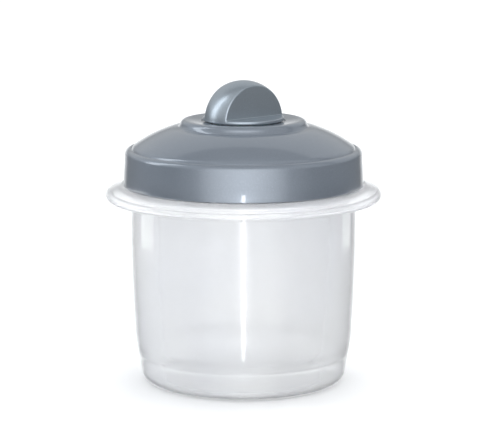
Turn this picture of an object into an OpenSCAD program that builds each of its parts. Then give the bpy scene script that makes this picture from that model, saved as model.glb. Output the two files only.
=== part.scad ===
// Formula dispenser: a translucent tub, a three-part powder cup that turns inside it,
// and a domed lid with a turning knob and a hinged pour cap. Millimetres, +Z up,
// origin on the surface the tub stands on, at the tub's axis.

/* [Tub] */
// Outer radius of the tub's wall just under the collar
tub_r = 44.8; // [44.4:0.1:45]
// How much narrower the wall is at its lower end than under the collar
wall_bow = 1.6; // [1:0.1:2]
// Thickness of the tub's wall
tub_wall = 1.4; // [1.2:0.1:1.5]
// Radius of the flat ring that the tub stands on
foot_r = 36.6; // [35:0.1:37]
// Radius of the rounded bottom corner
foot_round = 4.6; // [4:0.1:4.8]
// Height of the inner step that carries the powder cup
step_z = 11.4; // [10:0.1:12]
// Radius of the land that guides the powder cup's foot
land_r = 40.94; // [40.5:0.01:41]

/* [Collar] */
// Outer radius of the collar's rolled lip
collar_r = 55; // [54:0.5:57]
// Height of the flat ledge under the lid's edge
ledge_z = 79.5; // [78.5:0.1:80]
// Radius of the rolled lip's section
lip_round = 2; // [1.8:0.1:2.4]
// Drop from the flat ledge to the top of the lip
lip_drop = 2; // [1.5:0.1:3]
// Height of the neck's rim, which the lid seal rests on
rim_z = 88; // [87:0.1:88.5]

/* [Lid] */
// Outer radius of the lid's skirt at the shoulder
skirt_r = 47.2; // [47:0.1:48]
// How far the skirt's lower edge flares out
skirt_flare = 0.7; // [0.3:0.1:1]
// Thickness of the lid's shell
lid_wall = 1.5; // [1.2:0.1:1.6]
// Radius of the arc that the dome's section follows
dome_round = 53; // [52:0.5:54]
// Height of the crest of the boss under the knob
boss_z = 105.4; // [105.2:0.1:106]

/* [Pour cap] */
// Distance of the cap's hinge from the axis
hinge_y = 29; // [28.5:0.1:29.5]
// Width of the pour cap
cap_w = 16.6; // [14:0.2:17]
// Reach of the pour cap from its hinge
cap_reach = 11.5; // [11:0.1:11.6]

/* [Knob] */
// Radius of the half-ball knob
knob_r = 16.2; // [15.5:0.1:16.4]
// Thickness of the knob's grip
grip_t = 13.4; // [11:0.2:14]
// Way the grip points when the dispenser is at rest
grip_angle = 40; // [0:5:90]

/* [Powder cup] */
// Number of compartments
compartments = 3; // [3]
// Thickness of the compartment walls
vane_t = 1; // [0.8:0.1:1.4]
// Height of the top of the powder cup
cup_top = 84; // [82:0.1:84]

/* [Hidden] */
$fn = 120;
eps = 0.01;

// tub
wall_top_z = 68;
wall_low_z = 17;
floor_z = 1.9;
base_recess = 0.5;
recess_r = 34;
inner_round = 3;
land_h = 1.8;
step_out_r = land_r + 1.31;
step_in = 0.35;
below_step_r = land_r - 1.05;
neck_r = tub_r + 0.1;
neck_inner_r = tub_r - tub_wall;
lip_x = collar_r - lip_round;
lip_z = ledge_z - lip_drop - lip_round;
ledge_t = 1.4;
gusset = 2.2;
lip_t = 1.3;
lip_run = 4.4;
lip_end = 67;
rim_ease = 0.4;
rim_ease_in = 0.3;
foot_ease = 0.5;
land_blend = 1.6;
land_set = 0.7;

// lid
skirt_z = ledge_z + 0.2;
shoulder_z = 91.7;
crest_round = 2.15;
crest_x = skirt_r - crest_round;
dome_x = 13.1;
dome_z = 51.6;
dome_edge_r = 44;
dome_foot_r = 29.5;
boss_round = 2;
boss_x = 23.2;
boss_foot_r = 25.7;
boss_foot_z = 102.5;
boss_ring_r = 27.3;
boss_ring_z = 102.45;
boss_dish = 0.1;
recess_ease = 0.2;
hem_ease = 0.3;
shell_inner_angle = 74;
shell_inner_r = 43.3;
cutter = 20;
recess_floor_z = 104.4;
recess_wall_r = knob_r + 0.4;
inner_skirt_r = 45.7;
ceiling_z = 102.8;
rib_t = 1.2;
seal_top_z = 89.6;
deck_z = 84.6;
deck_t = 1.6;
deck_hole_gap = 0.9;
deck_r = neck_inner_r - 0.9;
upstand_r = 41.2;
upstand_t = 1.4;
upstand_top_z = 93.6;
grip_rib_r = upstand_r + 0.1;
rib_high_z = shoulder_z + 5;
press_rib_r = 43.5;

// pour cap and chute
hinge_z = 99.85;
pin_r = 0.75;
running = 0.05;
barrel_r = 1.8;
pocket_r = 2.7;
lug_r = 2.3;
lug_w = 2.6;
cap_gap = 0.3;
gasket_t = 1.4;
gasket_reach = 10.6;
gasket_lap = 0.3;
gasket_near_y = 31.8;
chute_half_w = 7.2;
chute_near_y = 32.6;
chute_far_y = 38.2;
chute_wall = 1.2;
rim_band = 1.4;
scoop_r = 5;
scoop_y = 42.6;
scoop_z = 100;

// knob and shaft
knob_z = 104.7;
knob_gap = 0.3;
knob_base_t = 1.5;
cove_r = 2;
knob_shell = 1.8;
knob_socket_r = grip_t / 2 - knob_shell + 0.2;
shaft_r = 2.5;
shaft_top = 113;
shaft_bottom = 68;
flat_half = 1.9;
flats_top = 84;
bush_r = 5;
bush_z = 90;
washer_r = 13.5;
washer_w = 2.5;
washer_groove = 0.5;
clip_z = 89;
clip_t = 0.8;
clip_r = 4.6;
clip_groove = 0.5;
clip_split = 2.2;

// powder cup
cup_gap = 0.08;
cup_foot_r = land_r - cup_gap;
cup_lift = 0.05;
cup_floor_top = 15.3;
cup_floor_t = 1.4;
cup_wall = 0.9;
cup_clear = 0.65;
hub_r = 5.5;
hub_bore_r = 3.2;
hub_web = 3;
vane_root = 1;
cup_foot_t = 1.6;
socket_z = 66;
socket_gap = 0.2;
first_vane = -90;

// Points along an arc from angle a to angle b
function arc(x, z, r, a, b, n = 8) =
    [for (i = [0:n]) let (t = a + (b - a) * i / n) [x + r * cos(t), z + r * sin(t)]];

// Outer radius of the tub's bowed wall at a height
function wall_r(z) = tub_r - wall_bow * pow((wall_top_z - z) / (wall_top_z - wall_low_z), 2);

// Points up the bowed wall, set in by an amount
function wall_points(z0, z1, inset, n = 6) =
    [for (i = [0:n]) let (z = z0 + (z1 - z0) * i / n) [wall_r(z) - inset, z]];

function reversed(list) = [for (i = [len(list) - 1:-1:0]) list[i]];

// Angle on the dome's arc at a distance from the axis
function dome_angle(r, sunk = 0) = acos((r - dome_x) / (dome_round - sunk));

// ---- tub ----

function tub_outside() = concat(
    [[foot_r, 0]],
    arc(foot_r, foot_round, foot_round, -80, 0),
    [[step_out_r - step_in - 0.1, foot_round + 3.6],
     [step_out_r - step_in, step_z - 0.3], [step_out_r, step_z]],
    wall_points(wall_low_z, wall_top_z, 0),
    [[tub_r, ledge_z - ledge_t - gusset]],
    arc(tub_r + gusset, ledge_z - ledge_t - gusset, gusset, 170, 90, 6),
    [[lip_x - lip_run, ledge_z - ledge_t]]);

function tub_lip() = concat(
    arc(lip_x, lip_z, lip_round - lip_t, lip_end, -90, 8),
    arc(lip_x, lip_z, lip_round, -90, lip_end, 12));

function tub_neck() = [
    [lip_x - lip_run, ledge_z],
    [neck_r, ledge_z],
    [neck_r, rim_z - rim_ease],
    [neck_r - rim_ease, rim_z],
    [neck_inner_r + rim_ease_in, rim_z],
    [neck_inner_r, rim_z - rim_ease_in]];

function tub_inside() = concat(
    reversed(wall_points(wall_low_z, wall_top_z, tub_wall)),
    [[land_r + land_set, step_z + land_h + land_blend],
     [land_r, step_z + land_h],
     [land_r, step_z],
     [below_step_r, step_z]],
    arc(below_step_r - inner_round, floor_z + inner_round, inner_round, 0, -90, 6),
    [[0, floor_z], [0, base_recess], [recess_r, base_recess], [recess_r + foot_ease, 0]]);

module tub() {
    color([0.92, 0.93, 0.95, 0.45])
    rotate_extrude()
    polygon(concat(tub_outside(), tub_lip(), tub_neck(), tub_inside()));
}

// ---- powder cup ----

function cup_section() = concat(
    [[cup_foot_r - cup_foot_t, step_z + cup_lift], [cup_foot_r, step_z + cup_lift],
     [cup_foot_r, step_z + land_h - rim_ease_in],
     [land_r + cup_lift, step_z + land_h + land_blend]],
    wall_points(wall_low_z + 1, wall_top_z, tub_wall + cup_clear),
    [[neck_inner_r - cup_clear, cup_top], [neck_inner_r - cup_clear - cup_wall, cup_top]],
    reversed(wall_points(wall_low_z + 1, wall_top_z, tub_wall + cup_clear + cup_wall)),
    [[land_r - land_set, cup_floor_top], [0, cup_floor_top], [0, cup_floor_top - cup_floor_t],
     [cup_foot_r - cup_foot_t, cup_floor_top - cup_floor_t]]);

// A compartment wall from the hub to the cup's wall, running along +X
module vane() {
    rotate([90, 0, 0])
    translate([0, 0, -vane_t / 2])
    linear_extrude(vane_t)
    polygon(concat(
        [[hub_r - vane_root, cup_floor_top - eps], [land_r - land_set / 2, cup_floor_top - eps]],
        wall_points(wall_low_z + 1, wall_top_z, tub_wall + cup_clear + cup_wall / 2),
        [[neck_inner_r - cup_clear - cup_wall / 2, cup_top], [hub_r - vane_root, cup_top]]));
}

// Round bar with two flats, used for the shaft's end and for the socket it goes into
module flatted_bar(r, half, h) {
    intersection() {
        cylinder(r = r, h = h);
        translate([-r, -half, 0])
        cube([2 * r, 2 * half, h]);
    }
}

module powder_cup() {
    color([0.96, 0.97, 1, 0.25])
    difference() {
        union() {
            rotate_extrude()
            polygon(cup_section());
            translate([0, 0, cup_floor_top - cup_floor_t])
            cylinder(r = hub_r, h = cup_top - cup_floor_top + cup_floor_t);
            for (i = [0:compartments - 1])
                rotate(first_vane + i * 360 / compartments)
                vane();
        }
        translate([0, 0, cup_floor_top - cup_floor_t - eps])
        cylinder(r = hub_bore_r, h = socket_z - hub_web - cup_floor_top);
        translate([0, 0, socket_z])
        rotate(grip_angle)
        flatted_bar(shaft_r + socket_gap, flat_half + socket_gap, cup_top - socket_z + eps);
    }
}

// ---- lid ----

function lid_outside() = concat(
    [[skirt_r + skirt_flare - hem_ease, skirt_z], [skirt_r + skirt_flare, skirt_z + hem_ease]],
    arc(crest_x, shoulder_z, crest_round, 0, 105, 12),
    arc(dome_x, dome_z, dome_round, dome_angle(dome_edge_r), dome_angle(dome_foot_r), 12),
    [[boss_ring_r, boss_ring_z], [boss_foot_r, boss_foot_z]],
    arc(boss_x, boss_z - boss_round, boss_round, 15, 90, 8),
    [[boss_x - boss_round, boss_z - boss_dish], [recess_wall_r + 1, recess_floor_z + 0.55],
     [recess_wall_r + recess_ease, recess_floor_z + 0.45],
     [recess_wall_r, recess_floor_z + 0.25], [recess_wall_r, recess_floor_z]]);

function lid_inside() = concat(
    arc(dome_x, dome_z, dome_round - lid_wall, shell_inner_angle,
        dome_angle(shell_inner_r, lid_wall), 12),
    [[crest_x - 0.2, shoulder_z + 0.9], [inner_skirt_r, shoulder_z - 0.6],
     [inner_skirt_r, skirt_z]]);

// The closed solid under the dome's arc sunk by an amount
module sunk_dome(sunk) {
    rotate_extrude()
    polygon(concat(
        [[0, rim_z - 4], [dome_edge_r, rim_z - 4]],
        arc(dome_x, dome_z, dome_round - sunk, dome_angle(dome_edge_r, sunk), 90, 16),
        [[0, dome_z + dome_round - sunk]]));
}

module ring(r, t, low, high) {
    translate([0, 0, low])
    difference() {
        cylinder(r = r, h = high - low);
        translate([0, 0, -eps])
        cylinder(r = r - t, h = high - low + 2 * eps);
    }
}

// A bar along X centred on the cap's hinge
module hinge_bar(r, w) {
    translate([-w / 2, hinge_y, hinge_z])
    rotate([0, 90, 0])
    cylinder(r = r, h = w);
}

// What the cap sweeps past: its reach outward of the hinge, between two side planes
module cap_zone(reach, w) {
    intersection() {
        hinge_bar(reach, w);
        translate([-w, hinge_y, hinge_z - cutter])
        cube([2 * w, cutter, 2 * cutter]);
    }
}

module lid_dome() {
    color([0.50, 0.55, 0.61])
    difference() {
        union() {
            rotate_extrude()
            polygon(concat(lid_outside(), [[0, recess_floor_z], [0, ceiling_z]], lid_inside()));
            intersection() {
                union() {
                    ring(grip_rib_r + rib_t, rib_t, seal_top_z, rib_high_z);
                    ring(press_rib_r + rib_t, rib_t, seal_top_z, rib_high_z);
                }
                sunk_dome(lid_wall / 2);
            }
            translate([0, 0, bush_z])
            cylinder(r = bush_r, h = ceiling_z - bush_z + eps);
            intersection() {
                difference() {
                    hinge_bar(lug_r, cap_w + 2 * cap_gap + 2 * lug_w);
                    hinge_bar(lug_r + 1, cap_w + 2 * cap_gap);
                }
                sunk_dome(lid_wall / 2);
            }
        }
        translate([0, 0, bush_z - eps])
        cylinder(r = shaft_r + running, h = recess_floor_z - bush_z + 1);
        ring(washer_r, washer_w, recess_floor_z - washer_groove, recess_floor_z + 1);
        cap_zone(cap_reach + cap_gap, cap_w + 2 * cap_gap);
        hinge_bar(pocket_r, cap_w + 2 * cap_gap);
        translate([-cap_w / 2 - cap_gap, hinge_y - pocket_r, hinge_z])
        cube([cap_w + 2 * cap_gap, pocket_r, cutter]);
        hinge_bar(pin_r, cap_w + 2 * cap_gap + 2 * lug_w + 2);
        translate([0, scoop_y, scoop_z])
        sphere(r = scoop_r);
    }
}

module chute_box(grow, low, high) {
    translate([-chute_half_w - grow, chute_near_y - grow, low])
    cube([2 * (chute_half_w + grow), chute_far_y - chute_near_y + 2 * grow, high - low]);
}

module lid_deck() {
    color([0.56, 0.60, 0.66])
    difference() {
        union() {
            translate([0, 0, deck_z])
            cylinder(r = deck_r, h = deck_t);
            ring(upstand_r, upstand_t, deck_z + deck_t - eps, upstand_top_z);
            intersection() {
                chute_box(chute_wall, deck_z + deck_t - eps, deck_z + cutter);
                sunk_dome(lid_wall + gasket_t + 0.1);
                cylinder(r = upstand_r, h = deck_z + cutter);
            }
        }
        chute_box(0, deck_z - 1, deck_z + cutter + 1);
        translate([0, 0, deck_z - eps])
        cylinder(r = shaft_r + deck_hole_gap, h = deck_t + 2 * eps);
    }
}

module lid_seal() {
    color([0.86, 0.88, 0.90])
    ring(neck_r, neck_r - upstand_r - 0.1, rim_z, seal_top_z);
}

// ---- pour cap ----

module pour_cap() {
    color([0.50, 0.55, 0.61])
    difference() {
        union() {
            intersection() {
                cap_zone(cap_reach, cap_w);
                difference() {
                    sunk_dome(0);
                    sunk_dome(lid_wall);
                }
            }
            hinge_bar(barrel_r, cap_w);
        }
        hinge_bar(pin_r + running, cap_w + 2);
    }
}

module cap_gasket() {
    color([0.86, 0.88, 0.90])
    difference() {
        intersection() {
            cap_zone(gasket_reach, cap_w - 0.2);
            difference() {
                sunk_dome(lid_wall);
                sunk_dome(lid_wall + gasket_t);
            }
            translate([-cap_w, gasket_near_y, rim_z])
            cube([2 * cap_w, cutter, cutter]);
        }
        chute_box(-gasket_lap, rim_z, rim_z + cutter);
    }
}

module cap_pin() {
    color([0.75, 0.76, 0.78])
    hinge_bar(pin_r, cap_w + 2 * cap_gap + 2 * lug_w);
}

// ---- knob ----

// What is cut away beside the grip, with a cove where it meets the knob's base
module grip_side() {
    far = knob_r + 2;
    base_top = knob_z + knob_gap + knob_base_t;
    translate([-far, 0, 0])
    rotate([90, 0, 90])
    linear_extrude(2 * far)
    polygon(concat(
        [[grip_t / 2, knob_z + far]],
        arc(grip_t / 2 + cove_r, base_top + cove_r, cove_r, 180, 270, 6),
        [[far, base_top], [far, knob_z + far]]));
}

module half_ball(r, low) {
    intersection() {
        translate([0, 0, knob_z])
        sphere(r = r);
        translate([-r, -r, low])
        cube([2 * r, 2 * r, 2 * r]);
    }
}

module knob() {
    bottom = knob_z + knob_gap;
    color([0.40, 0.45, 0.52])
    rotate(grip_angle)
    difference() {
        union() {
            difference() {
                half_ball(knob_r, bottom);
                grip_side();
                mirror([0, 1, 0])
                grip_side();
                intersection() {
                    half_ball(knob_r - knob_shell, bottom - eps);
                    translate([-knob_r, -grip_t / 2 + knob_shell, 0])
                    cube([2 * knob_r, grip_t - 2 * knob_shell, 2 * knob_z]);
                }
            }
            translate([0, 0, bottom])
            cylinder(r = knob_socket_r, h = shaft_top - bottom + 1);
        }
        translate([0, 0, bottom - eps])
        cylinder(r = shaft_r, h = shaft_top - bottom + eps);
    }
}

module drive_shaft() {
    color([0.80, 0.81, 0.83])
    rotate(grip_angle)
    difference() {
        union() {
            translate([0, 0, flats_top])
            cylinder(r = shaft_r, h = shaft_top - flats_top);
            translate([0, 0, shaft_bottom])
            flatted_bar(shaft_r, flat_half, flats_top - shaft_bottom);
        }
        ring(shaft_r + 1, 1 + clip_groove, clip_z, clip_z + clip_t);
    }
}

module knob_washer() {
    color([0.86, 0.88, 0.90])
    ring(washer_r - 0.1, washer_w - 0.2, recess_floor_z - washer_groove, knob_z + knob_gap - 0.1);
}

// Split ring that holds the shaft up in the lid
module shaft_clip() {
    color([0.75, 0.76, 0.78])
    difference() {
        ring(clip_r, clip_r - shaft_r + clip_groove, clip_z, clip_z + clip_t);
        translate([0, -clip_split / 2, clip_z - 1])
        cube([clip_r + 1, clip_split, clip_t + 2]);
    }
}

tub();
powder_cup();
lid_dome();
lid_deck();
lid_seal();
pour_cap();
cap_gasket();
cap_pin();
knob();
drive_shaft();
knob_washer();
shaft_clip();
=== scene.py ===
# %% [markdown]
# # A formula dispenser
#
# The dispenser is a milky tub with a wide rolled collar, a clear cup in three compartments inside
# it, and a pearly domed lid with a turning knob. The engineering model already says where every
# part is and how it moves. This script gives those parts their looks: the big mouldings are turned
# and cut again with smooth surfaces, and everything gets a finish made from nodes.
#
# The frame comes first. Nothing in it is ever moved, and every new piece rides on one of its
# bodies.

# %% Load the frame
import math

import bpy
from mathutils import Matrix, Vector


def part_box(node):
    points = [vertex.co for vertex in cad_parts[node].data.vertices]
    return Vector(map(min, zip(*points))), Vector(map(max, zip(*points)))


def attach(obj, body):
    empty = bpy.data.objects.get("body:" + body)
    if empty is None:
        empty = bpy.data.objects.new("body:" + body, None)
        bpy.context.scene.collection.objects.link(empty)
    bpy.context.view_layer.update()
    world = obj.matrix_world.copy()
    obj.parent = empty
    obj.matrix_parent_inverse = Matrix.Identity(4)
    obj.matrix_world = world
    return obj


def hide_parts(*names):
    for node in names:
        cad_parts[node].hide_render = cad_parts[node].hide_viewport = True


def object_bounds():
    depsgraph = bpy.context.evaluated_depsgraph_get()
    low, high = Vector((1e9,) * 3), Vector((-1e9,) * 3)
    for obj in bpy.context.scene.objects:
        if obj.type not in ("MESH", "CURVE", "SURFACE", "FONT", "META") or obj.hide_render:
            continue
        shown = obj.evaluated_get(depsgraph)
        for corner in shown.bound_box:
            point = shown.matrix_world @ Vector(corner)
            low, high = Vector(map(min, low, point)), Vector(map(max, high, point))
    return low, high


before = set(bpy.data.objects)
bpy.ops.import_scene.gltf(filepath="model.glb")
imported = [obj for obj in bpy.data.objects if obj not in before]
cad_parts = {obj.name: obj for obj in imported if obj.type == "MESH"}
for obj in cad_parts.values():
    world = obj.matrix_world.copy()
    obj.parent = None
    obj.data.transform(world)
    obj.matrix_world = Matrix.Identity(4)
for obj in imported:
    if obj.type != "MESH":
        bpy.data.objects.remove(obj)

cad_low, cad_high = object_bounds()

# %% [markdown]
# All sizes below are in millimetres, as on a moulder's drawing, and become metres when a point is
# placed. The big ones are read off the frame, so that the looks follow the model if it changes.

# %% Sizes
MM = 0.001
LID_GAP = 0.2
SKIRT_FLARE = 0.7
KNOB_SUNK = 0.3


def size_of(node):
    """Lowest and highest corners of a frame node, in millimetres."""
    low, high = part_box(node)
    return Vector(low) / MM, Vector(high) / MM


tub_low, tub_high = size_of("tub")
lid_low, lid_high = size_of("lid_dome")
cup_low, cup_high = size_of("powder_cup")
knob_low, knob_high = size_of("knob")
cap_low, cap_high = size_of("pour_cap")

COLLAR_R = tub_high.x
RIM_Z = tub_high.z
LEDGE_Z = lid_low.z - LID_GAP
SKIRT_R = lid_high.x - SKIRT_FLARE
BOSS_Z = lid_high.z
CUP_TOP = cup_high.z
KNOB_LOW = knob_low.z
KNOB_R = knob_high.z - KNOB_LOW + KNOB_SUNK
CAP_W = cap_high.x - cap_low.x
print("collar %.1f, rim %.1f, knob radius %.2f" % (COLLAR_R, RIM_Z, KNOB_R))

# %% [markdown]
# Every round moulding here could be a primitive pushed into shape, or a curve with thickness. A
# turner would draw the section and spin it, and so does the helper below: a plane is merged to one
# point, the point is extruded along the section, and the section is spun round the axis. The first
# and last rings are then merged, and the faces are turned outwards.

# %% Turning helpers
def deselect_all():
    for thing in bpy.context.selected_objects:
        thing.select_set(False)


def arc(x, z, r, a, b, n=10):
    """Points along an arc about (x, z), from angle a to angle b in degrees."""
    turns = [math.radians(a + (b - a) * i / n) for i in range(n + 1)]
    return [(x + r * math.cos(t), z + r * math.sin(t)) for t in turns]


def only(piece):
    """Make one piece the selected and active one."""
    deselect_all()
    piece.select_set(True)
    bpy.context.view_layer.objects.active = piece


def turned(name, outline, steps=160):
    """Spin a closed outline of (radius, height) points once round the upright axis."""
    deselect_all()
    bpy.ops.mesh.primitive_plane_add(size=MM)
    piece = bpy.context.object
    piece.name = piece.data.name = name
    points = [Vector((r, 0, z)) * MM for r, z in outline]
    bpy.ops.object.mode_set(mode="EDIT")
    bpy.ops.mesh.select_mode(type="VERT")
    bpy.ops.mesh.merge(type="CENTER")
    bpy.ops.transform.translate(value=points[0])
    for here, there in zip(points, points[1:] + points[:1]):
        bpy.ops.mesh.extrude_region_move(TRANSFORM_OT_translate={"value": there - here})
    bpy.ops.mesh.select_all(action="SELECT")
    bpy.ops.mesh.spin(steps=steps, angle=2 * math.pi, center=(0, 0, 0), axis=(0, 0, 1))
    bpy.ops.mesh.select_all(action="SELECT")
    bpy.ops.mesh.remove_doubles(threshold=1e-6)
    bpy.ops.mesh.normals_make_consistent(inside=False)
    bpy.ops.object.mode_set(mode="OBJECT")
    return piece


def smooth(piece, angle=32):
    """Smooth shading that keeps the real edges sharp."""
    only(piece)
    bpy.ops.object.shade_smooth_by_angle(angle=math.radians(angle))


def apply(piece, kind, **values):
    """Add a modifier to a piece and apply it."""
    only(piece)
    modifier = piece.modifiers.new(kind.lower(), kind)
    for key, value in values.items():
        setattr(modifier, key, value)
    bpy.ops.object.modifier_apply(modifier=modifier.name)


def combine(piece, other, how):
    """Cut, join or keep the overlap of two closed pieces, and drop the second one."""
    apply(piece, "BOOLEAN", object=other, operation=how, solver="EXACT")
    bpy.data.objects.remove(other, do_unlink=True)


def count(piece):
    """Print how many faces a piece has."""
    print("%s: %d faces" % (piece.name, len(piece.data.polygons)))


quarter = arc(0, 0, 1, 0, 90, 2)
print("a quarter turn in 2 steps:", [(round(x, 2), round(z, 2)) for x, z in quarter])


# %% [markdown]
# ## The tub
#
# The real tub is injection moulded in natural polypropylene. Its wall is slightly bowed, it steps
# in just above the foot, and the lip is rolled over so that it doesn't cut the hand. One section
# holds all of that, and the wall has its true thickness, because light shows both of its faces.

# %% Tub
TUB_R = 44.8
WALL = 1.4
WALL_BOW = 1.6
WALL_TOP = 68
WALL_LOW = 17
STEP_Z = 11.4
STEP_IN = 0.35
FOOT_R = 36.6
FOOT_ROUND = 4.6
LIP_ROUND = 2
LEDGE_T = 1.4
LAND_R = 40.94
FLOOR_Z = 1.9
lip_x = COLLAR_R - LIP_ROUND
lip_z = LEDGE_Z - 4


def wall_r(z):
    """Outer radius of the bowed wall at a height."""
    return TUB_R - WALL_BOW * ((WALL_TOP - z) / (WALL_TOP - WALL_LOW)) ** 2


def wall_points(z0, z1, inset, n=14):
    """Points up or down the wall between two heights, set in from its outer face."""
    heights = [z0 + (z1 - z0) * i / n for i in range(n + 1)]
    return [(wall_r(z) - inset, z) for z in heights]


step_r = wall_r(WALL_LOW) - 0.95
tub_outline = (
    [(0, 0.5), (34, 0.5), (34.5, 0.15)]
    + arc(FOOT_R - 0.4, 0.4, 0.4, 250, 280, 2)
    + arc(FOOT_R, FOOT_ROUND, FOOT_ROUND - 0.01, -78, 0, 12)
    + [(41.65, 8.2), (step_r - STEP_IN, STEP_Z - 0.5)]
    + arc(step_r - 0.25, STEP_Z + 0.15, 0.25, -60, 0, 4)
    + wall_points(WALL_LOW, WALL_TOP, 0)
    + arc(TUB_R + 2.2, LEDGE_Z - LEDGE_T - 2.2, 2.2, 176, 90, 8)
    + [(lip_x - 3.2, LEDGE_Z - LEDGE_T - 0.25), (lip_x - 1.2, LEDGE_Z - LEDGE_T - 1.1)]
    + arc(lip_x, lip_z, 0.7, 120, -90, 10)
    + arc(lip_x, lip_z, LIP_ROUND, -90, 68, 18)
    + arc(lip_x - 4.6, LEDGE_Z - 2.2, 2.2, 68, 90, 4)
    + [(TUB_R + 0.35, LEDGE_Z)]
    + arc(TUB_R + 0.35, LEDGE_Z + 0.25, 0.25, 270, 180, 4)
    + arc(TUB_R - 0.3, RIM_Z - 0.4, 0.4, 0, 90, 5)
    + arc(TUB_R - WALL + 0.3, RIM_Z - 0.3, 0.3, 90, 180, 5)
    + wall_points(WALL_TOP, WALL_LOW, WALL)
    + [(LAND_R + 0.7, STEP_Z + 3.4), (LAND_R, STEP_Z + 1.8), (LAND_R, STEP_Z)]
    + [(LAND_R - 1.05, STEP_Z)]
    + arc(LAND_R - 4.05, FLOOR_Z + 3, 3, 0, -90, 8)
    + [(0, FLOOR_Z)]
)
tub = turned("tub_moulding", tub_outline)
smooth(tub)
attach(tub, "tub")
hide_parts("tub")
count(tub)

# %% [markdown]
# ## The powder cup
#
# The cup is clear and thin, so it hardly shows. Its wall follows the tub's, its foot sits on the
# tub's step, and three walls meet at a hub with a socket for the knob's shaft. The cup is turned
# in one, each wall is a slab cut to the cup's section, and they are joined so that no face is left
# inside the plastic, where it would show as a ghost.

# %% Powder cup
CUP_CLEAR = 0.65
CUP_WALL = 0.9
CUP_FLOOR = 15.3
HUB_R = 5.5
SOCKET_R = 2.7
SOCKET_Z = 66
cup_foot_r = LAND_R - 0.08
cup_in = WALL + CUP_CLEAR
neck_r = TUB_R - WALL
cup_outline = (
    [(cup_foot_r - 1.6, STEP_Z + 0.05), (cup_foot_r, STEP_Z + 0.05)]
    + [(cup_foot_r, STEP_Z + 1.5), (LAND_R + 0.05, STEP_Z + 3.4)]
    + wall_points(WALL_LOW + 1, WALL_TOP, cup_in)
    + [(neck_r - CUP_CLEAR, CUP_TOP - 0.2), (neck_r - CUP_CLEAR - 0.2, CUP_TOP)]
    + [(neck_r - CUP_CLEAR - CUP_WALL, CUP_TOP)]
    + wall_points(WALL_TOP, WALL_LOW + 1, cup_in + CUP_WALL)
    + arc(LAND_R - 2.2, CUP_FLOOR + 1.5, 1.5, 0, -90, 6)
    + [(HUB_R + 0.8, CUP_FLOOR), (HUB_R, CUP_FLOOR + 0.8)]
    + [(HUB_R, CUP_TOP - 0.3), (HUB_R - 0.3, CUP_TOP), (SOCKET_R, CUP_TOP)]
    + [(SOCKET_R, SOCKET_Z), (0, SOCKET_Z), (0, CUP_FLOOR - 1.4)]
    + [(cup_foot_r - 1.6, CUP_FLOOR - 1.4)]
)
cup = turned("powder_cup_moulding", cup_outline, steps=128)
VANE_T = 1.0
VANE_START = -90
VANE_TAPER = 1.4
COMPARTMENTS = 3
vane_in = HUB_R - 1
for i in range(COMPARTMENTS):
    deselect_all()
    span = neck_r - cup_in - vane_in + 0.9
    bpy.ops.mesh.primitive_cube_add(
        size=1, location=Vector((vane_in + span / 2, 0, (CUP_TOP + CUP_FLOOR) / 2)) * MM)
    vane = bpy.context.object
    vane.scale = Vector((span, VANE_T, CUP_TOP - CUP_FLOOR + 0.6)) * MM
    bpy.ops.object.transform_apply(location=True, rotation=True, scale=True)
    bpy.ops.object.mode_set(mode="EDIT")
    bpy.ops.mesh.select_all(action="DESELECT")
    bpy.ops.object.mode_set(mode="OBJECT")
    for corner in vane.data.vertices:
        corner.select = corner.co.x > 30 * MM and corner.co.z < 30 * MM
    bpy.ops.object.mode_set(mode="EDIT")
    bpy.ops.transform.translate(value=(-VANE_TAPER * MM, 0, 0))
    bpy.ops.object.mode_set(mode="OBJECT")
    vane.rotation_euler.z = math.radians(VANE_START + i * 360 / COMPARTMENTS)
    bpy.ops.object.transform_apply(location=True, rotation=True, scale=True)
    combine(cup, vane, "UNION")
smooth(cup)
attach(cup, "cup")
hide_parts("powder_cup")
count(cup)

# %% [markdown]
# ## The lid
#
# The lid's shell is one moulding: a skirt that widens downwards, a crest round the shoulder, a
# shallow dome and a flat boss with a shallow dish for the knob. Its section is again one outline,
# inside and out. The pour slot is then cut through it with a bar that turns about the cap's hinge,
# which is how the real slot gets room for the cap's end to swing out.

# %% Lid shell
DOME_X, DOME_Z, DOME_R = 13.1, 51.6, 53
CREST = 2.15
SHOULDER_Z = 91.7
BOSS_R = 25.2
BOSS_ROUND = 2
RECESS_Z = 104.4
RECESS_R = KNOB_R + 0.4
LID_T = 1.5
BUSH_R = 5
BUSH_Z = 90
SHAFT_HOLE = 2.55
SEAL_TOP = 89.6
SKIRT_IN = 45.7
crest_x = SKIRT_R - CREST


def dome_angle(r, sunk=0):
    """Angle on the dome's arc at a distance from the axis, in degrees."""
    return math.degrees(math.acos((r - DOME_X) / (DOME_R - sunk)))


def dome_z(r, sunk=0):
    """Height of the dome's arc at a distance from the axis."""
    return DOME_Z + math.sqrt((DOME_R - sunk) ** 2 - (r - DOME_X) ** 2)


lid_outside = (
    arc(SKIRT_R + 0.4, LEDGE_Z + 0.5, 0.3, -90, 0, 4)
    + [(SKIRT_R + 0.4, LEDGE_Z + 5), (SKIRT_R + 0.12, LEDGE_Z + 9.6)]
    + arc(crest_x, SHOULDER_Z, CREST, 3, 104, 22)
    + [(44.25, 94.3)]
    + arc(DOME_X, DOME_Z, DOME_R, dome_angle(43.9), dome_angle(29.5), 26)
    + [(28.4, 102.27), (27.3, 102.45), (26.4, 102.52), (25.95, 102.62), (25.62, 102.95)]
    + arc(BOSS_R - BOSS_ROUND, BOSS_Z - BOSS_ROUND, BOSS_ROUND, 15, 90, 14)
    + [(21.2, BOSS_Z - 0.1), (17.9, RECESS_Z + 0.57)]
    + arc(RECESS_R + 0.6, RECESS_Z + 0.15, 0.4, 80, 180, 5)
    + [(RECESS_R, RECESS_Z + 0.1), (RECESS_R, RECESS_Z)]
)
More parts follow.
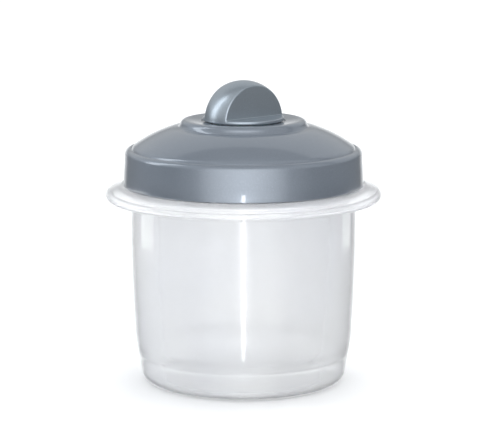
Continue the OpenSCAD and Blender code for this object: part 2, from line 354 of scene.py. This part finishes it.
lid_inside = (
    [(SHAFT_HOLE, RECESS_Z), (SHAFT_HOLE, BUSH_Z), (BUSH_R, BUSH_Z), (BUSH_R, 102.4)]
    + arc(DOME_X, DOME_Z, DOME_R - LID_T, dome_angle(27.3, LID_T), dome_angle(41.2, LID_T), 12)
    + [(41.2, SEAL_TOP), (42.4, SEAL_TOP), (42.4, 93.4)]
    + [(43.5, 92.8), (43.5, SEAL_TOP), (44.7, SEAL_TOP), (44.9, 92.3)]
    + [(SKIRT_IN, SHOULDER_Z - 0.6), (SKIRT_IN, LEDGE_Z + 0.2)]
)
lid = turned("lid_shell", lid_outside + lid_inside, steps=192)
count(lid)

# %% [markdown]
# The cutters share the cap's hinge axis. The slot reaches a little further than the cap. The round
# pocket leaves room for the hinge's barrel, and a block opens it upwards, so that the cap can fold
# back over it. The thumb scoop beyond the slot is a shallow bite with a ball.

# %% Slot, pocket and scoop
HINGE_Y = 29
HINGE_Z = 99.85
CAP_REACH = 11.5
CAP_GAP = 0.3
POCKET_R = 2.7
BLOCK_H = 10
OVERLAP = 0.01
SCOOP_R = 5
SCOOP_Y = 42.6
SCOOP_Z = 100


def hinge_bar(name, r, width, vertices=96):
    """A round bar along X, about the cap's hinge."""
    deselect_all()
    bpy.ops.mesh.primitive_cylinder_add(
        vertices=vertices, radius=r * MM, depth=width * MM,
        location=Vector((0, HINGE_Y, HINGE_Z)) * MM, rotation=(0, math.pi / 2, 0))
    bar = bpy.context.object
    bar.name = bar.data.name = name
    bpy.ops.object.transform_apply(location=True, rotation=True, scale=True)
    return bar


def outer_half(bar, y):
    """Keep the part of a bar beyond a distance y, and close the cut."""
    only(bar)
    bpy.ops.object.mode_set(mode="EDIT")
    bpy.ops.mesh.select_all(action="SELECT")
    bpy.ops.mesh.bisect(
        plane_co=(0, y * MM, 0), plane_no=(0, 1, 0), use_fill=True, clear_inner=True)
    bpy.ops.object.mode_set(mode="OBJECT")
    return bar


slot_w = CAP_W + 2 * CAP_GAP
slot_cutter = outer_half(hinge_bar("slot_cutter", CAP_REACH + CAP_GAP, slot_w), HINGE_Y)
combine(lid, slot_cutter, "DIFFERENCE")
combine(lid, hinge_bar("pocket_cutter", POCKET_R, slot_w), "DIFFERENCE")
deselect_all()
bpy.ops.mesh.primitive_cube_add(
    size=1, location=Vector((0, HINGE_Y - POCKET_R / 2 + OVERLAP, HINGE_Z + BLOCK_H / 2)) * MM)
bpy.context.object.scale = Vector((slot_w, POCKET_R + 2 * OVERLAP, BLOCK_H)) * MM
bpy.ops.object.transform_apply(location=True, rotation=True, scale=True)
combine(lid, bpy.context.object, "DIFFERENCE")
deselect_all()
bpy.ops.mesh.primitive_uv_sphere_add(
    segments=48, ring_count=32, radius=SCOOP_R * MM, location=Vector((0, SCOOP_Y, SCOOP_Z)) * MM)
bpy.ops.object.transform_apply(location=True, rotation=True, scale=True)
combine(lid, bpy.context.object, "DIFFERENCE")
smooth(lid)
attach(lid, "lid")
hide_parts("lid_dome")
count(lid)

# %% [markdown]
# ## The pour cap
#
# The cap is the piece of shell that fills the slot, so it is made from the same dome: a thin
# turned shell, kept only where it overlaps the cap's own bar. The barrel that takes the pin is
# joined to it.

# %% Pour cap
BARREL_R = 1.8
cap_shell = (
    arc(DOME_X, DOME_Z, DOME_R, dome_angle(43.5), dome_angle(24), 24)
    + arc(DOME_X, DOME_Z, DOME_R - LID_T, dome_angle(24, LID_T), dome_angle(43.5, LID_T), 24)
)
cap = turned("pour_cap_moulding", cap_shell, steps=192)
combine(cap, outer_half(hinge_bar("cap_trim", CAP_REACH, CAP_W), HINGE_Y), "INTERSECT")
combine(cap, hinge_bar("cap_barrel", BARREL_R, CAP_W, 48), "UNION")
smooth(cap)
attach(cap, "cap")
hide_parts("pour_cap")
count(cap)

# %% [markdown]
# ## The knob
#
# The knob is half a ball with both sides pressed flat, so that finger and thumb can turn it. A
# ball is sliced on both sides and joined to the thin round base. The whole is then meshed again in
# small even squares and relaxed, which rounds the edges a little and leaves the small cove where
# grip and base meet, as on the real moulding.

# %% Knob
GRIP_T = 13.4
GRIP_ANGLE = 40
BASE_T = 1.5
BASE_EDGE = 0.4
MESH_SIZE = 0.24
RELAX_STEPS = 6
knob_centre = KNOB_LOW - KNOB_SUNK
deselect_all()
bpy.ops.mesh.primitive_uv_sphere_add(
    segments=128, ring_count=80, radius=KNOB_R * MM, location=(0, 0, knob_centre * MM))
grip = bpy.context.object
grip.name = grip.data.name = "knob_moulding"
bpy.ops.object.transform_apply(location=True, rotation=True, scale=True)
bpy.ops.object.mode_set(mode="EDIT")
for side in (1, -1):
    bpy.ops.mesh.select_all(action="SELECT")
    bpy.ops.mesh.bisect(
        plane_co=(0, side * GRIP_T / 2 * MM, 0), plane_no=(0, side, 0),
        use_fill=True, clear_outer=True)
bpy.ops.mesh.select_all(action="SELECT")
bpy.ops.mesh.bisect(
    plane_co=(0, 0, (KNOB_LOW + BASE_EDGE) * MM), plane_no=(0, 0, 1),
    use_fill=True, clear_inner=True)
bpy.ops.object.mode_set(mode="OBJECT")
base_top = KNOB_LOW + BASE_T
base_r = math.sqrt(KNOB_R ** 2 - (base_top - knob_centre) ** 2)
base = turned(
    "knob_base",
    [(0, KNOB_LOW)] + arc(KNOB_R - 0.05 - BASE_EDGE, KNOB_LOW + BASE_EDGE, BASE_EDGE, -90, 0, 4)
    + arc(base_r - 0.3, base_top - 0.3, 0.3, 0, 90, 4) + [(0, base_top)],
    steps=128)
combine(grip, base, "UNION")
apply(grip, "REMESH", mode="VOXEL", voxel_size=MESH_SIZE * MM)
apply(grip, "SMOOTH", factor=0.5, iterations=RELAX_STEPS)
grip.rotation_euler.z = math.radians(GRIP_ANGLE)
only(grip)
bpy.ops.object.transform_apply(location=True, rotation=True, scale=True)
bpy.ops.object.shade_smooth()
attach(grip, "knob")
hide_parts("knob")
count(grip)

# %% [markdown]
# ## Finishes
#
# Moulded plastic is never one flat colour. The skin has a very fine texture from the mould, slow
# cloudy changes from the flow of the melt, and hairline scratches from being handled. These three
# effects are node groups, made once and put in each material with its own values. They give out
# only values and heights: the shader itself stays in the material.

# %% Shared effects
def new_group(name, inputs, outputs):
    """A shader node group with named sockets, and its input and output nodes."""
    group = bpy.data.node_groups.new(name, "ShaderNodeTree")
    for label, kind, value in inputs:
        socket = group.interface.new_socket(label, in_out="INPUT", socket_type=kind)
        if value is not None:
            socket.default_value = value
    for label, kind in outputs:
        group.interface.new_socket(label, in_out="OUTPUT", socket_type=kind)
    return group, group.nodes.new("NodeGroupInput"), group.nodes.new("NodeGroupOutput")


def noise(tree, vector, scale, detail=3.0, rough=0.5):
    """A noise texture on a vector, with a scale that is a number or a socket."""
    node = tree.nodes.new("ShaderNodeTexNoise")
    node.inputs["Detail"].default_value = detail
    node.inputs["Roughness"].default_value = rough
    tree.links.new(vector, node.inputs["Vector"])
    if isinstance(scale, (int, float)):
        node.inputs["Scale"].default_value = scale
    else:
        tree.links.new(scale, node.inputs["Scale"])
    return node.outputs["Fac"]


def maths(tree, how, a, b):
    """A Math node on two sockets or numbers."""
    node = tree.nodes.new("ShaderNodeMath")
    node.operation = how
    for socket, value in zip(node.inputs, (a, b)):
        if isinstance(value, (int, float)):
            socket.default_value = value
        else:
            tree.links.new(value, socket)
    return node.outputs[0]


def spread(tree, value, low, high, out_low, out_high):
    """Map a value's range onto another, held at both ends."""
    node = tree.nodes.new("ShaderNodeMapRange")
    tree.links.new(value, node.inputs["Value"])
    ends = {"From Min": low, "From Max": high, "To Min": out_low, "To Max": out_high}
    for label, number in ends.items():
        if isinstance(number, (int, float)):
            node.inputs[label].default_value = number
        else:
            tree.links.new(number, node.inputs[label])
    return node.outputs["Result"]


def stretch(tree, vector, scale):
    """Stretch coordinates by a fixed amount along each axis."""
    node = tree.nodes.new("ShaderNodeMapping")
    node.inputs["Scale"].default_value = scale
    tree.links.new(vector, node.inputs["Vector"])
    return node.outputs["Vector"]


FLOAT, VECTOR = "NodeSocketFloat", "NodeSocketVector"
print("effects can take and give", FLOAT, "and", VECTOR)

# %% [markdown]
# Melt flow: slow clouds, a little stronger along the level, because the melt spreads round the
# mould. It gives a value near 0.5 to mix colours with.

# %% Melt flow
melt_flow, g_in, g_out = new_group(
    "melt_flow", [("Vector", VECTOR, None), ("Size", FLOAT, 40.0)],
    [("Cloud", FLOAT), ("Streak", FLOAT)])
clouds = noise(melt_flow, g_in.outputs["Vector"], g_in.outputs["Size"], 2)
melt_flow.links.new(clouds, g_out.inputs["Cloud"])
flat = stretch(melt_flow, g_in.outputs["Vector"], (14, 14, 420))
melt_flow.links.new(noise(melt_flow, flat, 1.0, 3, 0.6), g_out.inputs["Streak"])
print("melt flow:", len(melt_flow.nodes), "nodes")

# %% [markdown]
# Mould skin: the fine orange peel that the mould's polish leaves. It is a height, for a Bump node.

# %% Mould skin
mould_skin, g_in, g_out = new_group(
    "mould_skin", [("Vector", VECTOR, None), ("Fineness", FLOAT, 900.0)], [("Height", FLOAT)])
fine = noise(mould_skin, g_in.outputs["Vector"], g_in.outputs["Fineness"], 2)
broad = noise(mould_skin, g_in.outputs["Vector"], 120, 2)
mould_skin.links.new(
    maths(mould_skin, "ADD", maths(mould_skin, "MULTIPLY", fine, 0.35), broad),
    g_out.inputs["Height"])
print("mould skin:", len(mould_skin.nodes), "nodes")

# %% [markdown]
# Handling: hairline scratches that run every way. They are the thin bands where two stretched
# noises cross a middle value, and they fade in and out with a third one.

# %% Handling scratches
handling, g_in, g_out = new_group(
    "handling", [("Vector", VECTOR, None), ("Amount", FLOAT, 0.5)], [("Scratch", FLOAT)])
lines = []
for scale in ((900, 60, 90), (60, 800, 120), (90, 140, 900)):
    field = noise(handling, stretch(handling, g_in.outputs["Vector"], scale), 1.0, 1)
    off = maths(handling, "ABSOLUTE", maths(handling, "SUBTRACT", field, 0.5), 0)
    lines.append(spread(handling, off, 0.0, 0.012, 1.0, 0.0))
worst = maths(handling, "MAXIMUM", maths(handling, "MAXIMUM", lines[0], lines[1]), lines[2])
patch = spread(handling, noise(handling, g_in.outputs["Vector"], 45, 2), 0.5, 0.72, 0.0, 1.0)
handling.links.new(
    maths(handling, "MULTIPLY", maths(handling, "MULTIPLY", worst, patch), g_in.outputs["Amount"]),
    g_out.inputs["Scratch"])
print("handling:", len(handling.nodes), "nodes")

# %% [markdown]
# A material starts as one Principled shader on object coordinates, with its plain values set on
# the shader's own sockets.

# %% Material helpers
def new_material(name, **values):
    """A node material; values set Principled sockets by name, with _ for a space."""
    material = bpy.data.materials.new(name)
    material.use_nodes = True
    tree = material.node_tree
    shader = tree.nodes["Principled BSDF"]
    for label, value in values.items():
        shader.inputs[label.replace("_", " ")].default_value = value
    place = tree.nodes.new("ShaderNodeTexCoord").outputs["Object"]
    return material, tree, shader, place


def use_group(tree, group, vector, **values):
    """Put a shared effect in a material."""
    node = tree.nodes.new("ShaderNodeGroup")
    node.node_tree = group
    tree.links.new(vector, node.inputs["Vector"])
    for label, value in values.items():
        node.inputs[label].default_value = value
    return node.outputs


def blend(tree, factor, a, b):
    """Mix two colours by a factor socket."""
    node = tree.nodes.new("ShaderNodeMix")
    node.data_type = "RGBA"
    tree.links.new(factor, node.inputs["Factor"])
    for socket, colour in ((node.inputs[6], a), (node.inputs[7], b)):
        if isinstance(colour, tuple):
            socket.default_value = colour + (1,)
        else:
            tree.links.new(colour, socket)
    return node.outputs[2]


def bump(tree, shader, height, distance, strength=1.0):
    """Feed a height to a shader through a Bump node."""
    node = tree.nodes.new("ShaderNodeBump")
    node.inputs["Distance"].default_value = distance
    node.inputs["Strength"].default_value = strength
    tree.links.new(height, node.inputs["Height"])
    tree.links.new(node.outputs["Normal"], shader.inputs["Normal"])


def dress(thing, material):
    """Give every material slot of an object the one material."""
    if not thing.data.materials:
        thing.data.materials.append(material)
    for place in thing.material_slots:
        place.material = material


print("effects ready:", sorted(group.name for group in bpy.data.node_groups))

# %% [markdown]
# ## Pearl plastic
#
# The lid's plastic holds tiny mica flakes. They lie flat in the skin, so it shines like soft metal
# under a clear gloss. A part metallic shader with a coat does this, and the flakes are a very fine
# speckle of a lighter tone in the colour.

# %% Pearl and knob plastic
def pearl(name, light, dark, metallic, rough, coat):
    """A pearly moulded plastic between two tones."""
    material, tree, shader, place = new_material(
        name, Metallic=metallic, IOR=1.5, Coat_Weight=coat, Coat_IOR=1.7, Coat_Roughness=0.035)
    flow = use_group(tree, melt_flow, place, Size=35.0)
    skin = use_group(tree, mould_skin, place, Fineness=1400.0)
    marks = use_group(tree, handling, place, Amount=0.25)
    cloud = spread(tree, flow["Cloud"], 0.3, 0.7, 0.0, 1.0)
    streak = spread(tree, flow["Streak"], 0.35, 0.65, 0.0, 1.0)
    colour = blend(tree, cloud, dark, light)
    flake = noise(tree, place, 5200, 1)
    glint = tuple(min(1, channel * 1.7) for channel in light)
    tinted = blend(tree, spread(tree, flake, 0.55, 0.75, 0.0, 0.5), colour, glint)
    tree.links.new(tinted, shader.inputs["Base Color"])
    roughness = maths(tree, "ADD", spread(tree, streak, 0.0, 1.0, rough - 0.015, rough + 0.02),
                      maths(tree, "MULTIPLY", marks["Scratch"], 0.18))
    tree.links.new(roughness, shader.inputs["Roughness"])
    bump(tree, shader, skin["Height"], 0.000012)
    return material


pearl_lid = pearl("pearl_lid", (0.222, 0.254, 0.30), (0.203, 0.236, 0.282), 0.44, 0.30, 0.9)
knob_plastic = pearl("knob_plastic", (0.42, 0.475, 0.53), (0.385, 0.44, 0.495), 0.8, 0.31, 0.3)
pearl_deck = pearl("pearl_deck", (0.30, 0.34, 0.40), (0.27, 0.31, 0.37), 0.5, 0.45, 0.3)
dress(lid, pearl_lid)
dress(cap, pearl_lid)
dress(grip, knob_plastic)
dress(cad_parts["lid_deck"], pearl_deck)
print("pearl materials on the lid, cap, knob and deck")

# %% [markdown]
# ## Clear and milky plastic
#
# The tub is natural polypropylene: light goes through it, but tiny crystals spread it, so what is
# behind looks soft. A rough transmission does that. Fine specks and slow clouds vary it. A ray
# tracer gives such a wall a full shadow, which is far too dark for a thin clear pot, so the Light
# Path node makes it nearly open to shadow rays.

# %% Tub and cup plastic
milky, tree, shader, place = new_material(
    "milky_tub", Metallic=0.0, IOR=1.45, Transmission_Weight=0.74,
    Coat_Weight=0.3, Coat_Roughness=0.05)
flow = use_group(tree, melt_flow, place, Size=22.0)
skin = use_group(tree, mould_skin, place, Fineness=700.0)
marks = use_group(tree, handling, place, Amount=0.5)
speck = noise(tree, place, 1500, 2)
cloud = spread(tree, flow["Cloud"], 0.3, 0.7, 0.0, 1.0)
tint = blend(tree, cloud, (0.975, 0.98, 1.0), (0.995, 0.995, 0.995))
tint = blend(tree, spread(tree, speck, 0.58, 0.75, 0.0, 0.4), tint, (0.93, 0.935, 0.95))
tree.links.new(tint, shader.inputs["Base Color"])
tree.links.new(
    maths(tree, "ADD", spread(tree, speck, 0.3, 0.7, 0.13, 0.19),
          maths(tree, "MULTIPLY", marks["Scratch"], 0.2)),
    shader.inputs["Roughness"])
bump(tree, shader, skin["Height"], 0.000004)
shadow = tree.nodes.new("ShaderNodeLightPath").outputs["Is Shadow Ray"]
tree.links.new(spread(tree, shadow, 0.0, 1.0, 1.0, 0.12), shader.inputs["Alpha"])
dress(tub, milky)

clear, tree, shader, place = new_material(
    "clear_cup", Metallic=0.0, IOR=1.45, Coat_Weight=0.0)
flow = use_group(tree, melt_flow, place, Size=30.0)
marks = use_group(tree, handling, place, Amount=0.4)
tree.links.new(blend(tree, flow["Cloud"], (0.90, 0.91, 0.94), (0.95, 0.96, 0.97)),
               shader.inputs["Base Color"])
tree.links.new(
    maths(tree, "ADD", spread(tree, flow["Streak"], 0.3, 0.7, 0.12, 0.2), marks["Scratch"]),
    shader.inputs["Roughness"])
rim = tree.nodes.new("ShaderNodeLayerWeight")
rim.inputs["Blend"].default_value = 0.3
edge = spread(tree, rim.outputs["Facing"], 0.0, 1.0, 0.05, 0.35)
shadow = tree.nodes.new("ShaderNodeLightPath").outputs["Is Shadow Ray"]
tree.links.new(maths(tree, "MULTIPLY", edge, spread(tree, shadow, 0.0, 1.0, 1.0, 0.3)),
               shader.inputs["Alpha"])
dress(cup, clear)
for plastic in (milky, clear):
    print(plastic.name, len(plastic.node_tree.nodes), "nodes")

# %% [markdown]
# ## Small parts
#
# The seals are translucent silicone, the shaft is plain acetal, and the pin and clip are stainless
# steel with the faint lines of drawn wire.

# %% Seals, shaft and steel
silicone, tree, shader, place = new_material(
    "silicone", Metallic=0.0, IOR=1.41, Subsurface_Weight=0.3, Subsurface_Scale=0.002)
skin = use_group(tree, mould_skin, place, Fineness=500.0)
dust = noise(tree, place, 260, 4, 0.6)
tree.links.new(blend(tree, dust, (0.62, 0.65, 0.68), (0.74, 0.76, 0.78)),
               shader.inputs["Base Color"])
tree.links.new(spread(tree, dust, 0.35, 0.7, 0.38, 0.6), shader.inputs["Roughness"])
bump(tree, shader, skin["Height"], 0.00004)

acetal, tree, shader, place = new_material("acetal", Metallic=0.0, IOR=1.48)
flow = use_group(tree, melt_flow, place, Size=90.0)
marks = use_group(tree, handling, place, Amount=1.0)
skin = use_group(tree, mould_skin, place, Fineness=1100.0)
tree.links.new(blend(tree, flow["Cloud"], (0.62, 0.63, 0.64), (0.72, 0.72, 0.71)),
               shader.inputs["Base Color"])
tree.links.new(
    maths(tree, "ADD", spread(tree, flow["Streak"], 0.3, 0.7, 0.34, 0.44), marks["Scratch"]),
    shader.inputs["Roughness"])
bump(tree, shader, skin["Height"], 0.00002)

steel, tree, shader, place = new_material("drawn_steel", Metallic=1.0)
grain = noise(tree, stretch(tree, place, (300, 6000, 6000)), 1.0, 3)
tree.links.new(blend(tree, grain, (0.55, 0.56, 0.57), (0.70, 0.70, 0.71)),
               shader.inputs["Base Color"])
tree.links.new(spread(tree, grain, 0.3, 0.7, 0.22, 0.36), shader.inputs["Roughness"])
bump(tree, shader, grain, 0.00001)

for node in ("lid_seal", "knob_washer", "cap_gasket"):
    dress(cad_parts[node], silicone)
dress(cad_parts["drive_shaft"], acetal)
for node in ("cap_pin", "shaft_clip"):
    dress(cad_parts[node], steel)
print("materials so far:", len(bpy.data.materials))

# %% [markdown]
# ## Studio
#
# The dispenser stands on a pale floor in a white studio. A floor that curves up isn't needed,
# because the camera looks down on it and sees nothing else. The floor is kept out of reflections,
# so that the skirt mirrors the studio's walls and not the sheet it stands on.

# %% Floor
FLOOR_GLOW = 0.09
FLOOR_R = 7
deselect_all()
bpy.ops.mesh.primitive_circle_add(
    vertices=96, radius=FLOOR_R, fill_type="NGON", location=(0, 0, cad_low.z))
floor = bpy.context.object
floor.name = "floor"
bpy.ops.object.transform_apply(location=True, rotation=True, scale=True)
floor.visible_glossy = False
paper, tree, shader, place = new_material("paper", Roughness=0.9, Emission_Strength=FLOOR_GLOW)
shader.inputs["Specular IOR Level"].default_value = 0.0
shader.inputs["Emission Color"].default_value = (1, 1, 1, 1)
tree.links.new(blend(tree, noise(tree, place, 3.0), (0.90, 0.90, 0.91), (0.92, 0.92, 0.92)),
               shader.inputs["Base Color"])
dress(floor, paper)
print("floor at height %.4f m" % cad_low.z)

# %% [markdown]
# The studio's walls are mid grey, darker at the sides. A bright screen stands behind the camera, a
# white sheet hangs far behind the dispenser and lights its edges, and a dark gap between two
# ceiling panels runs across a little behind the dispenser: the dome's front mirrors it as a faint
# dark lens. Only mirrored rays see all that. What comes through the clear plastic, and the fill
# that falls on everything, is one even white.

# %% World
SCREEN_SIDES = (0.70, 0.985)
SCREEN_TOP = (0.55, 0.88)
SCREEN = 1.5
CEILING, WALLS = 0.24, 0.56
SIDES = 0.32
BACKDROP = 0.9
AMBIENT = 0.92
scene = bpy.context.scene
scene.view_settings.view_transform = "Standard"
scene.view_settings.look = "None"
world = bpy.data.worlds.new("studio")
scene.world = world
world.use_nodes = True
tree = world.node_tree
sky = tree.nodes.new("ShaderNodeTexCoord").outputs["Generated"]
split = tree.nodes.new("ShaderNodeSeparateXYZ")
tree.links.new(sky, split.inputs["Vector"])
sky_x, sky_y, sky_z = split.outputs
flat_length = maths(tree, "SQRT", maths(tree, "ADD", maths(tree, "MULTIPLY", sky_x, sky_x),
                                        maths(tree, "MULTIPLY", sky_y, sky_y)), 0)
ahead = maths(tree, "DIVIDE", maths(tree, "MULTIPLY", sky_y, -1.0),
              maths(tree, "ADD", flat_length, 0.001))
screen = maths(tree, "MULTIPLY", spread(tree, ahead, *SCREEN_SIDES, 0.0, 1.0),
               spread(tree, sky_z, *SCREEN_TOP, 1.0, 0.0))
back_edge = maths(tree, "SUBTRACT", sky_y, maths(tree, "MULTIPLY", sky_z, 0.6))
near_edge = maths(tree, "SUBTRACT", sky_y, maths(tree, "MULTIPLY", sky_z, 0.24))
gap = maths(tree, "MULTIPLY", spread(tree, back_edge, -0.02, 0.02, 1.0, 0.0),
            spread(tree, near_edge, -0.04, 0.01, 0.0, 1.0))
ceiling = spread(tree, gap, 0.0, 1.0, WALLS, CEILING)
side = maths(tree, "MULTIPLY", spread(tree, ahead, 0.35, 0.8, 1.0, 0.0),
             spread(tree, sky_z, 0.05, 0.30, 1.0, 0.0))
walls = maths(tree, "MULTIPLY", ceiling, spread(tree, side, 0.0, 1.0, 1.0, SIDES))
backdrop = maths(tree, "MULTIPLY", spread(tree, ahead, -0.97, -0.86, 1.0, 0.0),
                 spread(tree, sky_z, 0.03, 0.17, 1.0, 0.0))
level = maths(tree, "ADD", maths(tree, "ADD", walls, maths(tree, "MULTIPLY", backdrop, BACKDROP)),
              maths(tree, "MULTIPLY", screen, SCREEN))
rays = tree.nodes.new("ShaderNodeLightPath").outputs
fill = maths(tree, "MAXIMUM", rays["Is Diffuse Ray"], rays["Is Transmission Ray"])
seen = spread(tree, fill, 0.0, 1.0, level, AMBIENT)
tree.links.new(seen, tree.nodes["Background"].inputs["Strength"])
tree.nodes["Background"].inputs["Color"].default_value = (0.965, 0.985, 1.0, 1)
print("studio walls:", WALLS, "dark gap:", CEILING, "screen:", SCREEN)

# %% [markdown]
# The lamps: a big soft box overhead makes the shadow at the foot, a tall narrow one on the left
# puts the curved glint on the knob, and two low panels beside the tub leave pale patches under
# the collar.

# %% Lights
TOP_W = 25
LEFT_W = 2.7
PANEL_W = 0.012
def soft_box(name, place, target, size, power, colour=(1, 1, 1), mirrored=True):
    """A rectangular area light at a place, aimed at a target."""
    data = bpy.data.lights.new(name, "AREA")
    data.shape = "RECTANGLE"
    data.size, data.size_y = size
    data.energy = power
    data.color = colour
    box = bpy.data.objects.new(name, data)
    scene.collection.objects.link(box)
    box.location = place
    box.rotation_euler = (Vector(target) - Vector(place)).to_track_quat("-Z", "Y").to_euler()
    box.visible_camera = False
    box.visible_glossy = mirrored
    return box


def around(angle, distance, height):
    """A place at an angle from straight ahead, seen from above, at a distance and a height."""
    turn = math.radians(angle)
    return (distance * math.sin(turn), -distance * math.cos(turn), height)


middle = (0, 0, (cad_low.z + cad_high.z) / 2)
soft_box("top_box", (0.25, 0.35, 2.8), middle, (1.5, 1.5), TOP_W, mirrored=False)
soft_box(
    "left_strip", around(-97, 0.9, 0.78), (0, 0, 0.78), (0.30, 1.26), LEFT_W, (0.93, 0.97, 1.0))
soft_box("left_panel", around(-110, 0.30, 0.011), (0, 0, 0.011), (0.125, 0.022), PANEL_W)
soft_box("right_panel", around(124, 0.30, 0.011), (0, 0, 0.011), (0.105, 0.022), PANEL_W * 0.6)

# %% [markdown]
# The bright line down the tub is the mirror image of a lit strip on the floor in front. It widens
# as it goes away, so that its image keeps one width all the way down the wall.

# %% Floor strip
STRIP_NEAR, STRIP_FAR, STRIP_HALF = 0.075, 0.62, 0.036
STRIP_GLOW = 9
deselect_all()
bpy.ops.mesh.primitive_plane_add(size=1, location=(0, 0, 0))
strip = bpy.context.object
strip.name = "floor_strip"
for corner in strip.data.vertices:
    reach = STRIP_FAR if corner.co.y < 0 else STRIP_NEAR
    corner.co = (math.copysign((reach - 0.044) * STRIP_HALF, corner.co.x), -reach, 0.0015)
strip.visible_camera = strip.visible_diffuse = strip.visible_shadow = False
glow, tree, shader, place = new_material("strip_glow", Roughness=1.0, Emission_Strength=STRIP_GLOW)
shader.inputs["Specular IOR Level"].default_value = 0.0
tree.links.new(blend(tree, noise(tree, place, 9.0), (0.96, 0.97, 1.0), (1.0, 1.0, 1.0)),
               shader.inputs["Emission Color"])
dress(strip, glow)
print("floor strip from %.3f to %.3f m in front of the axis" % (STRIP_NEAR, STRIP_FAR))

# %% [markdown]
# ## Camera
#
# A long lens about a metre away, ten degrees above the level, like a catalogue picture.

# %% Camera
PITCH = math.radians(10.08)
DISTANCE = 0.95
AIM_Z = 0.0677
LENS, SENSOR = 171, 36
SHIFT = 0.013
camera_data = bpy.data.cameras.new("camera")
camera_data.lens = LENS
camera_data.sensor_width = SENSOR
camera_data.shift_x = SHIFT
camera = bpy.data.objects.new("camera", camera_data)
scene.collection.objects.link(camera)
camera.location = (0, -DISTANCE * math.cos(PITCH), AIM_Z + DISTANCE * math.sin(PITCH))
camera.rotation_euler = (math.pi / 2 - PITCH, 0, 0)
camera_data.clip_start, camera_data.clip_end = 0.05, 30
scene.camera = camera
print("camera at", [round(v, 3) for v in camera.location])
